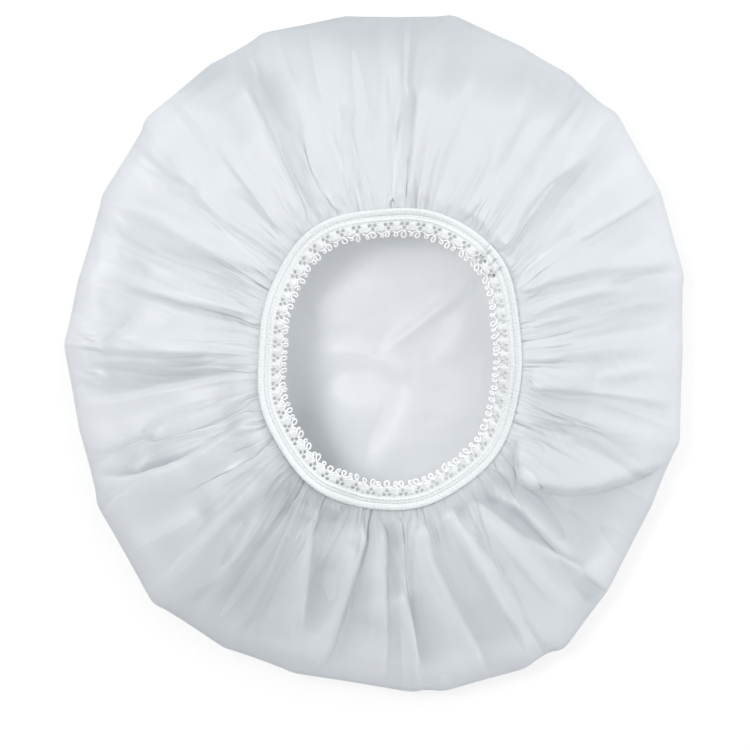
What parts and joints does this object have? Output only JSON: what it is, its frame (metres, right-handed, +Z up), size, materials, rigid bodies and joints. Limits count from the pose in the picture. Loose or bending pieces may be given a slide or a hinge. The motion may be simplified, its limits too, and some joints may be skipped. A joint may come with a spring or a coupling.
{
  "type": "shower cap",
  "caption": "Round gathered film shower cap lying mouth up, its edge sewn under a picot-edged lace elastic band that can be lifted from the crown.",
  "frame": {"origin": "on the surface the cap lies on, under the middle of its outline", "axes": "+Z up out of the mouth, +Y along the longer side of the outline, away from the camera's lower edge, +X to the right"},
  "size_m": [0.2683, 0.2926, 0.0392],
  "materials": {
    "film": "soft frosted film, milky and translucent",
    "knit": "white warp-knitted yarn",
    "rubber": "bare elastic thread",
    "thread": "white sewing thread"
  },
  "bodies": {
    "film": {"cap_film": "film"},
    "band": {"lace_band": "knit", "elastic_core_1": "rubber", "elastic_core_2": "rubber", "elastic_core_3": "rubber", "picot_yarn": "knit", "needle_thread": "thread", "bobbin_thread": "thread", "join_tack": "thread"}
  },
  "joints": [
    {"name": "mouth_lift", "type": "slide", "parent": "film", "child": "band", "axis": [0, 0, 1], "range_m": [0, 0.03], "deforming": ["cap_film"]}
  ]
}
